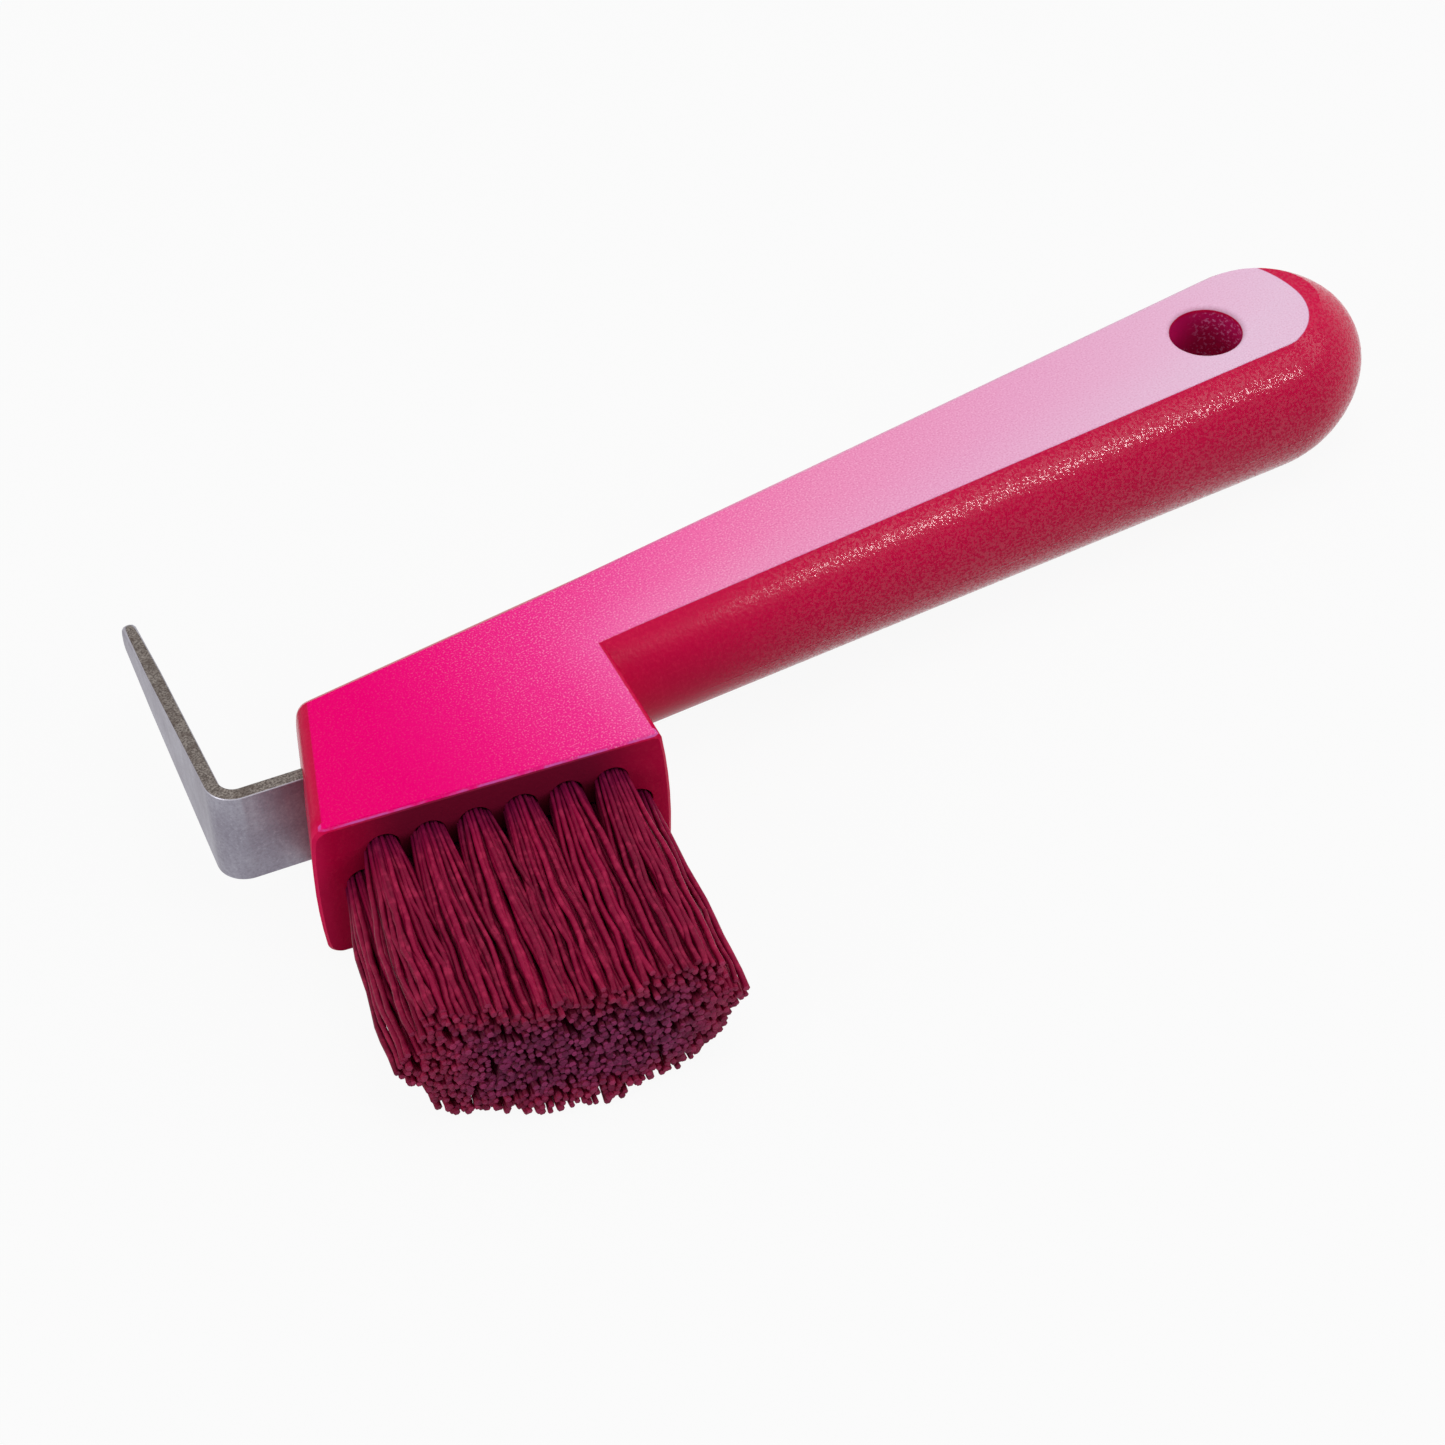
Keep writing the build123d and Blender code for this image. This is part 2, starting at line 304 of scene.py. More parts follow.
SPECK_DEEP = (0.50, 0.28)   # and as deep ones
SPECK_HEAD = 0.15           # strength of the specks at the pick end
SPECK_MORE = 1.5            # how much stronger they are on the handle
SPECK_FADE = 0.6            # how much of that is lost again towards the butt
SPECK_RISE = (-35.0, -5.0)
SPECK_FALL = (25.0, 90.0)
INK_LIGHT = (255, 220, 238)
INK_DEEP = (196, 70, 128)
# painted violet shading along the bevel above the bristles
PAINTED_BEVEL_SHADING = (196, 92, 172)
BEVEL_DOWN = (-0.10, -0.20)
BEVEL_NOISE = (420, 2.0)
BEVEL_SHADING_PATCHES = (0.35, 0.60)
PAINTED_RIM_SHEEN = (188, 128, 178)   # painted pale lavender sheen where the print stops
RIM_SHEEN_START = (-5.0, 5.0)

# plastic
CRIMSON = ((189, 3, 60), (201, 5, 68))
CLOUD_NOISE = (60, 3.0)
MOTTLE = (220, 44, 84)
MOTTLE_NOISE = (1900, 3.0, 0.65)
MOTTLE_SPOTS = (0.45, 0.75)
# painted shade on the brush face among the bristles' roots
ROOT_PAINTED_SHADE = (100, 22, 48)
ROOT_SHADE_OUT = (-0.6, -0.3)    # from the brush face
ROOT_SHADE_ALONG = (24.0, 11.0)  # from the brush's middle
# painted light on the brush face past the end tufts
FACE_END_PAINTED_LIGHT = (236, 34, 98)
FACE_END_LIGHT_OUT = (-2.5, -1.0)
FACE_END_LIGHT_ALONG = (21.0, 25.0)
LIT_HOLE_WALL = (190, 24, 106)  # the drilled hole's wall is more purple and painted lighter, as painted light inside the hole, with pale painted glints on it
LIT_HOLE_WALL_DOWN = (-0.7, -1.2)
# pale painted glints on the hole's wall
HOLE_PAINTED_GLINT = (236, 150, 208)
HOLE_GLINT_NOISE = (2000, 2.0, 0.6)
HOLE_GLINT_SPOTS = (0.54, 0.66)
HOLE_GLINT_SIDE = (0.0, 3.5)     # from the hole's axis towards the butt
HOLE_GLINT_DOWN = (-6.0, -8.0)

# skin
AXIS_DEPTH = 8.95           # upper flat to the bar's axis, at the neck
AXIS_SLOPE = 0.019467       # how fast that grows along the handle
SEAM_DROP = 2.6             # parting line below the bar's axis
SEAM_HALF = (0.16, 0.05)    # half width of the line, at its foot and its crest
SEAM_START = (2.0, 20.0)
SEAM_HEIGHT = 0.00010       # metres
PEBBLE_NOISE = (1900, 1.0, 0.5)
POWDER_NOISE = (4200, 0.0)
PEBBLE_HEIGHT = 0.000028    # metres
GLINT_NOISE = (2700, 1.0, 0.5)
GLINT_SPOTS = (0.44, 0.57)
GLINT_START = (2.0, 32.0)
DULL_FACE = (-4.0, -2.0)    # from the brush face


def brush_face():
    """How far out the brush face lies, and how far along it the brush's middle is."""
    corners = frame["nodes"]["handle_body"].data.vertices
    reach = max((vertex.co - NECK).dot(OUT) for vertex in corners)
    bases = [tuft_base(name) for name in TUFTS]
    middle = sum(bases, Vector()) / len(bases) - NECK
    return reach / MM, middle.dot(ALONG) / MM


def near_face(g, outward, reach, span):
    """Ramp over a span that is given from the brush face."""
    return g.ramp(outward, reach + span[0], reach + span[1])


def print_mask(g, x, y, z, at_hole, by_face):
    """1 where the moulding carries ink: its upper flat, and a little way down over the edges."""
    past = g.math("SUBTRACT", x, PRINT_END)
    squeeze = g.math("MULTIPLY_ADD", g.math("GREATER_THAN", y, 0.0), PRINT_OVER - 1, 1.0)
    aside = g.times(y, squeeze)
    radius = g.math("SQRT", g.math("ADD", g.times(past, past), g.times(aside, aside)))
    inside = g.ramp(radius, PRINT_END_RADIUS + PRINT_END_SOFT, PRINT_END_RADIUS - PRINT_END_SOFT)
    inside = g.math("MAXIMUM", inside, g.math("LESS_THAN", x, PRINT_END))
    shoulder = g.times(g.ramp(y, *FAR_SHOULDER), g.ramp(x, *RUN_START), g.ramp(x, *RUN_STOP))
    shoulder = g.times(shoulder, g.math("SUBTRACT", 1.0, at_hole))
    depth = g.math("MULTIPLY_ADD", at_hole, -PRINT_IN_HOLE, -PRINT_EDGE)
    depth = g.math("MULTIPLY_ADD", shoulder, -PRINT_RUN, depth)
    depth = g.math("MULTIPLY_ADD", by_face, -PRINT_TO_FACE, depth)
    ragged = g.math("MULTIPLY_ADD", g.noise(*RAGGED_NOISE), RAGGED, -RAGGED / 2)
    level = g.math("SUBTRACT", g.math("ADD", z, ragged), depth)
    return g.times(g.ramp(level, -PRINT_SOFT, PRINT_SOFT), inside)


def print_colour(g, x, y, z, by_face):
    """Pinks that run along the handle, a little askew, with fine light and deep specks."""
    sideways = g.math("MINIMUM", g.math("MAXIMUM", y, -SKEW_REACH), SKEW_REACH)
    nearer = g.math("MINIMUM", sideways, 0.0)
    more = g.math("MULTIPLY_ADD", nearer, SKEW_NEAR, g.times(sideways, SKEW_HANDLE))
    more = g.times(g.ramp(x, *SKEW_START), more)
    run = g.math("SUBTRACT", x, g.math("MULTIPLY_ADD", sideways, SKEW_HEAD, more))
    share = g.math("DIVIDE", g.math("SUBTRACT", run, GRADIENT_START), GRADIENT_LENGTH)
    pink = g.stops(share, *(((at - GRADIENT_START) / GRADIENT_LENGTH, c) for at, c in PRINT_STOPS))
    speck = g.noise(*SPECK_NOISE)
    dots = g.math("MULTIPLY_ADD", g.ramp(x, *SPECK_FALL), -SPECK_FADE, SPECK_MORE)
    dots = g.math("MULTIPLY_ADD", g.ramp(x, *SPECK_RISE), dots, SPECK_HEAD)
    pink = g.tint(pink, g.times(g.ramp(speck, *SPECK_LIGHT), dots), 0.17, INK_LIGHT)
    pink = g.tint(pink, g.times(g.ramp(speck, *SPECK_DEEP), dots), 0.16, INK_DEEP)
    # painted violet shading on the bevel, broken into patches
    shading_patches = g.ramp(g.noise(*BEVEL_NOISE), *BEVEL_SHADING_PATCHES)
    return g.tint(pink, g.times(by_face, g.ramp(z, *BEVEL_DOWN), shading_patches), 0.85, PAINTED_BEVEL_SHADING)


def plastic_colour(g, outward, along, reach):
    """Crimson with fine mottling, with painted shade among the bristles' roots and painted light
    beside them.
    """
    colour = g.mix(g.noise(*CLOUD_NOISE), *CRIMSON)
    colour = g.tint(colour, g.ramp(g.noise(*MOTTLE_NOISE), *MOTTLE_SPOTS), 0.30, MOTTLE)
    root_shade = g.times(near_face(g, outward, reach, ROOT_SHADE_OUT), g.ramp(along, *ROOT_SHADE_ALONG))
    face_end_light = g.times(near_face(g, outward, reach, FACE_END_LIGHT_OUT), g.ramp(along, *FACE_END_LIGHT_ALONG))
    # painted shade among the roots
    colour = g.tint(colour, root_shade, 0.80, ROOT_PAINTED_SHADE)
    # painted light past the end tufts
    return g.tint(colour, face_end_light, 0.70, FACE_END_PAINTED_LIGHT)


def plastic_skin(g, x, z):
    """Pebbled skin, with the parting line low on the handle's sides."""
    parting = g.math("MULTIPLY_ADD", g.math("MAXIMUM", x, 0.0), -AXIS_SLOPE, -AXIS_DEPTH - SEAM_DROP)
    off = g.math("ABSOLUTE", g.math("SUBTRACT", z, parting))
    seam = g.times(g.ramp(off, *SEAM_HALF), g.ramp(x, *SEAM_START))
    powder = g.times(g.noise(*POWDER_NOISE), 0.3)
    skin = g.bump(g.math("ADD", g.noise(*PEBBLE_NOISE), powder), PEBBLE_HEIGHT)
    return g.bump(seam, SEAM_HEIGHT, 0.8, skin)


def make_moulding():
    g = Graph("moulding")
    x, y, z = g.axes()
    reach, middle = brush_face()
    outward = g.towards(x, y, OUT)
    along = g.math("ABSOLUTE", g.math("SUBTRACT", g.towards(x, y, ALONG), middle))
    by_face = near_face(g, outward, reach, AT_BEVEL)
    from_hole = g.math("SUBTRACT", x, NECK_TO_HOLE)
    square = g.math("ADD", g.times(from_hole, from_hole), g.times(y, y))
    at_hole = g.math("LESS_THAN", square, HOLE_REACH ** 2)
    ink = print_mask(g, x, y, z, at_hole, by_face)
    plastic = plastic_colour(g, outward, along, reach)
    colour = g.mix(ink, plastic, print_colour(g, x, y, z, by_face))
    # painted sheen along the print's soft edge
    rim_sheen = g.times(ink, g.math("SUBTRACT", 1.0, ink), g.ramp(x, *RIM_SHEEN_START))
    colour = g.tint(colour, rim_sheen, 2.6, PAINTED_RIM_SHEEN)
    # painted light: the hole's wall lighter and more purple
    painted_hole_wall = g.times(at_hole, g.ramp(z, *LIT_HOLE_WALL_DOWN))
    colour = g.tint(colour, painted_hole_wall, 0.65, LIT_HOLE_WALL)
    # painted glints on the hole's wall, towards the butt and low down
    hole_glint_place = g.math("MAXIMUM", g.ramp(from_hole, *HOLE_GLINT_SIDE), g.ramp(z, *HOLE_GLINT_DOWN))
    hole_glints = g.times(painted_hole_wall, g.ramp(g.noise(*HOLE_GLINT_NOISE), *HOLE_GLINT_SPOTS), hole_glint_place)
    colour = g.tint(colour, hole_glints, 0.62, HOLE_PAINTED_GLINT)
    # the skin glints in specks; the ink and the brush face are duller
    glint = g.times(g.ramp(g.noise(*GLINT_NOISE), *GLINT_SPOTS), g.ramp(x, *GLINT_START))
    on_face = near_face(g, outward, reach, DULL_FACE)
    dull = g.math("MAXIMUM", g.times(ink, 0.85), g.times(on_face, 0.65))
    rough = g.math("MULTIPLY_ADD", glint, -0.18, 0.27)
    rough = g.math("MULTIPLY_ADD", dull, 0.14, rough)
    gloss = g.math("MULTIPLY_ADD", glint, 0.20, 0.07)
    gloss = g.times(gloss, g.math("SUBTRACT", 1.0, dull))
    skin = plastic_skin(g, x, z)
    return g.set(Base_Color=colour, Roughness=rough, Normal=skin, Specular_IOR_Level=gloss)


# steel; how level a surface lies is the height of its normal, 0 on the rolled faces, 1 on the edges
FACE_TONES = ((134, 129, 142), (165, 163, 174))
FACE_LINES = (112, 106, 122)
FACE_PITS = (104, 96, 106)
FACE_GRAINS = (186, 186, 196)
SHEARED_TONES = ((88, 80, 76), (144, 136, 130))
SHEARED_BLOTCH = (84, 72, 66)
CORNER_SHINE = (190, 188, 196)
EDGE_LEVEL = (0.80, 0.97)   # a sheared edge
CORNER_RISE = (0.25, 0.55)  # the rounding between a face and an edge
CORNER_FALL = (0.97, 0.75)
FLAT_EDGE = (0.97, 0.995)   # the flat of a sheared edge, which alone has grit
STEEL_CLOUD_NOISE = (140, 4.0, 0.6)
GRIT_NOISE = (3800, 2.0, 0.6)
ROLLED_NOISE = (1100, 3.0, 0.6)
ROLLED_STRETCH = (1.0, 1.0, 0.06)
BLOTCH_NOISE = (500, 3.0, 0.6)
SPECKLE_NOISE = (2300, 3.0, 0.7)
STEEL_RELIEF = 0.00005      # metres


def make_steel():
    """Satin rolled faces, and sheared edges that are darker, rougher and bright at their corners."""
    g = Graph("steel")
    split = g.add("ShaderNodeSeparateXYZ")
    g.join(g.add("ShaderNodeNewGeometry").outputs["Normal"], split.inputs[0])
    lift = g.math("ABSOLUTE", split.outputs[2])
    edge = g.ramp(lift, *EDGE_LEVEL)
    corner = g.times(g.ramp(lift, *CORNER_RISE), g.ramp(lift, *CORNER_FALL))
    rolled = g.noise(*ROLLED_NOISE, stretch=ROLLED_STRETCH)
    speckle = g.noise(*SPECKLE_NOISE)
    face = g.mix(g.ramp(g.noise(*STEEL_CLOUD_NOISE), 0.20, 0.80), *FACE_TONES)
    face = g.tint(face, rolled, 0.30, FACE_LINES)
    face = g.tint(face, g.ramp(speckle, 0.45, 0.70), 0.32, FACE_PITS)
    face = g.tint(face, g.ramp(speckle, 0.45, 0.28), 0.30, FACE_GRAINS)
    grit = g.noise(*GRIT_NOISE)
    sheared = g.mix(g.ramp(grit, 0.34, 0.66), *SHEARED_TONES)
    sheared = g.tint(sheared, g.ramp(g.noise(*BLOTCH_NOISE), 0.45, 0.65), 0.6, SHEARED_BLOTCH)
    colour = g.mix(edge, face, sheared)
    colour = g.tint(colour, corner, 0.50, CORNER_SHINE)
    rough = g.math("MULTIPLY_ADD", rolled, 0.12, 0.36)
    rough = g.math("MULTIPLY_ADD", edge, 0.18, rough)
    relief = g.math("ADD", g.times(grit, g.ramp(lift, *FLAT_EDGE)), g.times(rolled, 0.12))
    skin = g.bump(relief, STEEL_RELIEF, 0.5)
    return g.set(Base_Color=colour, Roughness=rough, Normal=skin, Metallic=1.0)


WIRE_TONES = ((176, 172, 166), (214, 210, 204))
DRAWN_NOISE = (1500, 2.0, 0.5)
DRAWN_STRETCH = (0.1, 1.0, 1.0)
WIRE_RELIEF = 0.00002       # metres


def make_wire():
    g = Graph("wire")
    drawn = g.noise(*DRAWN_NOISE, stretch=DRAWN_STRETCH)
    rough = g.math("MULTIPLY_ADD", drawn, 0.15, 0.22)
    skin = g.bump(drawn, WIRE_RELIEF)
    return g.set(Base_Color=g.mix(drawn, *WIRE_TONES), Roughness=rough, Normal=skin, Metallic=1.0)


BODY_TONES = ((102, 2, 38), (146, 5, 57))
CLUMP_TINT = (124, 0, 50)
# painted highlights in streaks along the filaments
STRAND_HIGHLIGHT = (198, 50, 92)
STREAK_NOISE = (700, 2.0, 0.6)
STRAND_HIGHLIGHT_SPOTS = (0.45, 0.72)
# painted shade towards the filaments' roots
FILAMENT_ROOT_SHADE = (84, 6, 52)
ROOT_SHADE_FADE = (0.25, 0.03)    # of a filament's length
TIP_SHADE = (62, 4, 36)     # just below the cut ends, inside the brush
TIP_FADE = (0.84, 0.98)
STREAK_RELIEF = 0.00003     # metres
VIOLET_ENDS = ((92, 10, 57), (170, 56, 114))     # cut ends inside the brush
ROSY_ENDS = ((126, 17, 60), (190, 58, 101))      # and round its rim
END_SHADE = (84, 6, 48)
END_NOISE = (3000, 2.0, 0.6)
END_RELIEF = 0.00004        # metres


def strand_values(g):
    """A filament's tone, the share of its length, its clump's tone, and how far inside it is."""
    strand = g.add("ShaderNodeAttribute", attribute_name="strand")
    split = g.add("ShaderNodeSeparateColor")
    g.join(strand.outputs["Color"], split.inputs[0])
    return (*split.outputs, strand.outputs["Alpha"])


def make_bristle():
    g = Graph("bristle")
    tone, reach, clump, inner = strand_values(g)
    streak = g.noise(*STREAK_NOISE)
    body = g.mix(tone, *BODY_TONES)
    body = g.tint(body, clump, 0.45, CLUMP_TINT)
    # painted highlights along the filaments
    body = g.tint(body, g.ramp(streak, *STRAND_HIGHLIGHT_SPOTS), 0.34, STRAND_HIGHLIGHT)
    # painted shade at the roots
    body = g.tint(body, g.ramp(reach, *ROOT_SHADE_FADE), 0.75, FILAMENT_ROOT_SHADE)
    body = g.tint(body, g.times(g.ramp(reach, *TIP_FADE), inner), 0.70, TIP_SHADE)
    rough = g.math("MULTIPLY_ADD", streak, 0.2, 0.38)
    skin = g.bump(streak, STREAK_RELIEF, 0.4)
    return g.set(Base_Color=body, Roughness=rough, Normal=skin, Specular_IOR_Level=0.12)


def make_bristle_end():
    g = Graph("bristle_end")
    tone, _, _, inner = strand_values(g)
    fleck = g.noise(*END_NOISE)
    colour = g.mix(inner, g.mix(tone, *ROSY_ENDS), g.mix(tone, *VIOLET_ENDS))
    colour = g.tint(colour, fleck, 0.5, END_SHADE)
    skin = g.bump(fleck, END_RELIEF, 0.6)
    return g.set(Base_Color=colour, Roughness=0.62, Normal=skin, Specular_IOR_Level=0.2)


FLOOR_GLOW = 0.93           # share of plain white in what the camera sees of the floor
FLOOR_TONES = ((182, 182, 182), (176, 176, 177))
FLOOR_HALF = 3.0            # metres
FLOOR_GAP = 0.00005         # below the object, metres


def make_floor():
    """Pale floor that is white to the camera and keeps a soft shadow."""
    g = Graph("floor")
    paper = g.mix(g.times(g.noise(6), 0.2), *FLOOR_TONES)
    g.set(Base_Color=paper, Roughness=0.9, Specular_IOR_Level=0.0)
    path = g.add("ShaderNodeLightPath").outputs
    mirrored = g.math("MAXIMUM", path["Is Glossy Ray"], path["Is Transmission Ray"])
    seen = g.math("MAXIMUM", path["Is Camera Ray"], mirrored)
    glow = g.add("ShaderNodeEmission")
    glow.inputs["Color"].default_value = (1, 1, 1, 1)
    blend = g.add("ShaderNodeMixShader")
    g.join(g.times(seen, FLOOR_GLOW), blend.inputs[0])
    g.join(g.shader.outputs[0], blend.inputs[1])
    g.join(glow.outputs[0], blend.inputs[2])
    out = next(n for n in g.tree.nodes if n.type == "OUTPUT_MATERIAL")
    g.join(blend.outputs[0], out.inputs["Surface"])
    mesh = bpy.data.meshes.new("floor")
    corners = [(x * FLOOR_HALF, y * FLOOR_HALF, 0) for x, y in ((-1, -1), (1, -1), (1, 1), (-1, 1))]
    mesh.from_pydata(corners, [], [(0, 1, 2, 3)])
    mesh.materials.append(g.material)
    floor = bpy.data.objects.new("floor", mesh)
    floor.location.z = cad_box[0][2] - FLOOR_GAP
    bpy.context.scene.collection.objects.link(floor)


SKY_LEVEL = 0.83            # strength of the surroundings overhead
HORIZON_LEVEL = 0.24        # and at the horizon
NEAR_LOSS = 0.45            # how much darker they are on the camera's side


def make_world():
    """Pale surroundings, darker low down and on the camera's side; the camera itself sees white."""
    world = bpy.data.worlds.new("studio")
    world.use_nodes = True
    tree = world.node_tree
    plain = tree.nodes["Background"]
    plain.inputs["Color"].default_value = (1, 1, 1, 1)
    direction = tree.nodes.new("ShaderNodeTexCoord")
    split = tree.nodes.new("ShaderNodeSeparateXYZ")
    tree.links.new(direction.outputs["Generated"], split.inputs[0])
    fade = tree.nodes.new("ShaderNodeMapRange")
    fade.inputs["To Min"].default_value = HORIZON_LEVEL
    fade.inputs["To Max"].default_value = SKY_LEVEL
    tree.links.new(split.outputs["Z"], fade.inputs["Value"])
    near = tree.nodes.new("ShaderNodeVectorMath")
    near.operation = "DOT_PRODUCT"
    tree.links.new(direction.outputs["Generated"], near.inputs[0])
    near.inputs[1].default_value = from_picture(0, 1, 0)
    loss = tree.nodes.new("ShaderNodeMapRange")
    loss.inputs["To Max"].default_value = NEAR_LOSS
    tree.links.new(near.outputs["Value"], loss.inputs["Value"])
    level = tree.nodes.new("ShaderNodeMath")
    level.operation = "SUBTRACT"
    level.use_clamp = True
    tree.links.new(fade.outputs[0], level.inputs[0])
    tree.links.new(loss.outputs[0], level.inputs[1])
    tree.links.new(level.outputs[0], plain.inputs["Strength"])
    white = tree.nodes.new("ShaderNodeBackground")
    white.inputs["Color"].default_value = (1, 1, 1, 1)
    path = tree.nodes.new("ShaderNodeLightPath")
    blend = tree.nodes.new("ShaderNodeMixShader")
    seen = path.outputs["Is Camera Ray"]
    for ray in ("Is Glossy Ray", "Is Transmission Ray"):
        either = tree.nodes.new("ShaderNodeMath")
        either.operation = "MAXIMUM"
        tree.links.new(seen, either.inputs[0])
        tree.links.new(path.outputs[ray], either.inputs[1])
        seen = either.outputs[0]
    tree.links.new(seen, blend.inputs[0])
    tree.links.new(plain.outputs[0], blend.inputs[1])
    tree.links.new(white.outputs[0], blend.inputs[2])
    tree.links.new(blend.outputs[0], tree.nodes["World Output"].inputs["Surface"])
    bpy.context.scene.world = world


# ---------------------------------------------------------------- bristles
STRANDS = 64                # filaments in a tuft
STRAND_RADIUS = 0.34
ROOT_SHARE = 0.70           # their thickness at the root, as a share of that
STRAND_SIDES = 6
STRAND_STEPS = 12
STOUTNESS = (0.90, 1.30)    # their thickness from half their length on, as shares of the usual one
TIP_SWELL = 0.12            # how much thicker the cut ends are, as a share
CROWN_RISE = 0.08           # how far the cut ends bulge
STRAND_BEND = (0.25, 11.0)  # size and length of their bends
TONE_SPREAD = 0.26
BEND_SIZES = (0.4, 1.0)     # how uneven the bends are
BEND_PACES = (0.8, 1.25)
BEND_GROWTH = 1.6           # how fast they grow from the root, for each share of the length
BUNDLE_RADIUS = 1.85        # middles of the outermost filaments, in the drilled hole
PLUG_DEPTH = 10.95          # hole's floor to the brush face
PLUG_SLICE = 0.1            # corners this close to the hole's floor lie on it
ROOT_DEPTH = 2.5            # where the filaments start, inside the hole
GOLDEN_ANGLE = pi * (3 - sqrt(5))

MIDDLE_LENGTH = 35.4        # brush face to the tips, mid-brush
END_LOSS = 2.6              # how much shorter the brush is at both ends
HEEL_GAIN = 1.9             # and how much longer towards the neck end
LOWER_GAIN = 0.9            # and towards the underside
CORNER_LOSS = 1.6           # and how much shorter at the four corners of its cut face
HEEL_LOWER_LOSS = 2.4       # and at the lower corner of the neck end
HALF_BRUSH = 20.0           # middle of the brush to its ends
HALF_WIDTH = 8.0            # and to its upper and lower sides
TRIM_NOISE = 0.12           # unevenness of the filaments' lengths
UPPER_TRIM_NOISE = 0.40     # and more towards the upper side
BRUSH_LEAN = -1.1           # lean of the whole brush along the rows, at the tips
BRUSH_DROOP = -1.9          # and towards the underside, where the tool rests on its tips
FAN_ACROSS = 0.06           # how far the rows lean apart
HEEL_DRAW = 0.7             # how far the outermost tips at the neck end are drawn in

TIP_ALONG = 4.0             # half size of one tuft at its tips
TIP_ACROSS = 3.7
STRAY = 0.30                # scatter of the tips
LOWER_STRAY = 0.6           # the lower row's, as a share of that
LOWER_ROW = -1.0            # upper end of that row, from the middle row
FLARE = 2.0                 # how early the tuft opens
HEEL_FLARE = 0.9            # and how much earlier towards the neck end
CLUMPS = 6                  # in a tuft
CLUMP_JITTER = 0.25         # how uneven their places are, as a share of a step round the tuft
CLUMP_PLACE = (0.45, 0.75)  # their distance from the tuft's middle, as shares of its radius
CLUMP_BEND = (0.20, 24.0)
CLUMP_HEIGHT = (-0.3, 0.2)
PULL = 0.14                 # how far the filaments of a clump draw together
PULL_SPREAD = (0.6, 1.1)
INNER_END = 0.88            # filaments count as inner ones up to this share of the half size
INNER_FADE = 0.35           # and become so over this one


def tuft_base(name):
    """Where a tuft leaves the brush face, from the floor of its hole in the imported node."""
    corners = [v.co for v in frame["nodes"][name].data.vertices]
    lowest = min(c.dot(OUT) for c in corners)
    end = [c for c in corners if c.dot(OUT) < lowest + PLUG_SLICE * MM]
    middle = sum(end, Vector((0, 0, 0))) / len(end)
    return middle + OUT * PLUG_DEPTH * MM


def limit(value):
    return min(1.0, max(0.0, value))


def wave(rng, size, length):
    """A slow random bend along a filament, as two sideways functions of the height."""
    turns = [rng.uniform(0, 2 * pi) for _ in range(4)]
    sizes = [rng.uniform(*BEND_SIZES) * size for _ in range(2)]
    pace = 2 * pi / (length * rng.uniform(*BEND_PACES))

    def at(height, share):
        grow = min(1.0, share * BEND_GROWTH)
        a = sin(pace * height + turns[0]) - sin(turns[0])
        b = sin(pace * height + turns[1]) - sin(turns[1])
        return a * sizes[0] * grow, b * sizes[1] * grow

    return at


def strand_points(root, tip, height, flare, bends):
    """Points of one filament: (along, across, out of the face), in millimetres."""
    points = []
    for step in range(STRAND_STEPS + 1):
        share = step / STRAND_STEPS
        opened = 1 - (1 - share) ** flare
        level = -ROOT_DEPTH + (height + ROOT_DEPTH) * share
        u = root[0] + (tip[0] - root[0]) * opened
        v = root[1] + (tip[1] - root[1]) * opened
        for bend in bends:
            du, dv = bend(level, share)
            u, v = u + du, v + dv
        points.append((u, v, level))
    return points


def add_strand(build, layer, points, base, values, stout):
    """Round filament along its points, with a cut end of its own material."""
    tone, clump, inner = values
    places = [base + (ALONG * u + ACROSS * v + OUT * w) * MM for u, v, w in points]
    rings = []
    for index, place in enumerate(places):
        ahead = places[min(index + 1, len(places) - 1)] - places[max(index - 1, 0)]
        ahead.normalize()
        side = ahead.cross(ACROSS).normalized()
        other = side.cross(ahead)
        share = index / STRAND_STEPS
        thick = STRAND_RADIUS * MM * min(1.0, ROOT_SHARE + share) * (1 + TIP_SWELL * share ** 3)
        thick *= 1 + (stout - 1) * min(1.0, 2 * share)
        ring = []
        for corner in range(STRAND_SIDES):
            angle = 2 * pi * corner / STRAND_SIDES
            spot = place + (side * cos(angle) + other * sin(angle)) * thick
            vertex = build.verts.new(spot)
            vertex[layer] = (tone, share, clump, inner)
            ring.append(vertex)
        rings.append(ring)
    for low, high in zip(rings, rings[1:]):
        for corner in range(STRAND_SIDES):
            after = (corner + 1) % STRAND_SIDES
            quad = build.faces.new((low[corner], low[after], high[after], high[corner]))
            quad.smooth = True
    crown = build.verts.new(places[-1] + (places[-1] - places[-2]).normalized() * CROWN_RISE * MM)
    crown[layer] = (tone, 1.0, clump, inner)
    for corner in range(STRAND_SIDES):
        after = (corner + 1) % STRAND_SIDES
        cap = build.faces.new((rings[-1][corner], rings[-1][after], crown))
        cap.material_index = 1


def make_clumps(rng):
    """Clumps of a tuft: each one's place in it, its bend, what it adds to the height, its tone."""
    clumps = []
    for index in range(CLUMPS):
        angle = 2 * pi * (index + rng.uniform(-CLUMP_JITTER, CLUMP_JITTER)) / CLUMPS
        far = rng.uniform(*CLUMP_PLACE)
        clumps.append((
            (far * cos(angle), far * sin(angle)),
            wave(rng, *CLUMP_BEND),
            rng.uniform(*CLUMP_HEIGHT),
            rng.random(),
        ))
    return clumps


def strand_height(to_end, to_side, noise):
    """Length of a filament at a place of the cut face, given as shares of its half sizes."""
    height = MIDDLE_LENGTH - END_LOSS * to_end ** 2 + HEEL_GAIN * to_end - LOWER_GAIN * to_side
    height -= CORNER_LOSS * to_end ** 2 * to_side ** 2
    height -= HEEL_LOWER_LOSS * max(0.0, to_end) * max(0.0, -to_side)
    return height + noise


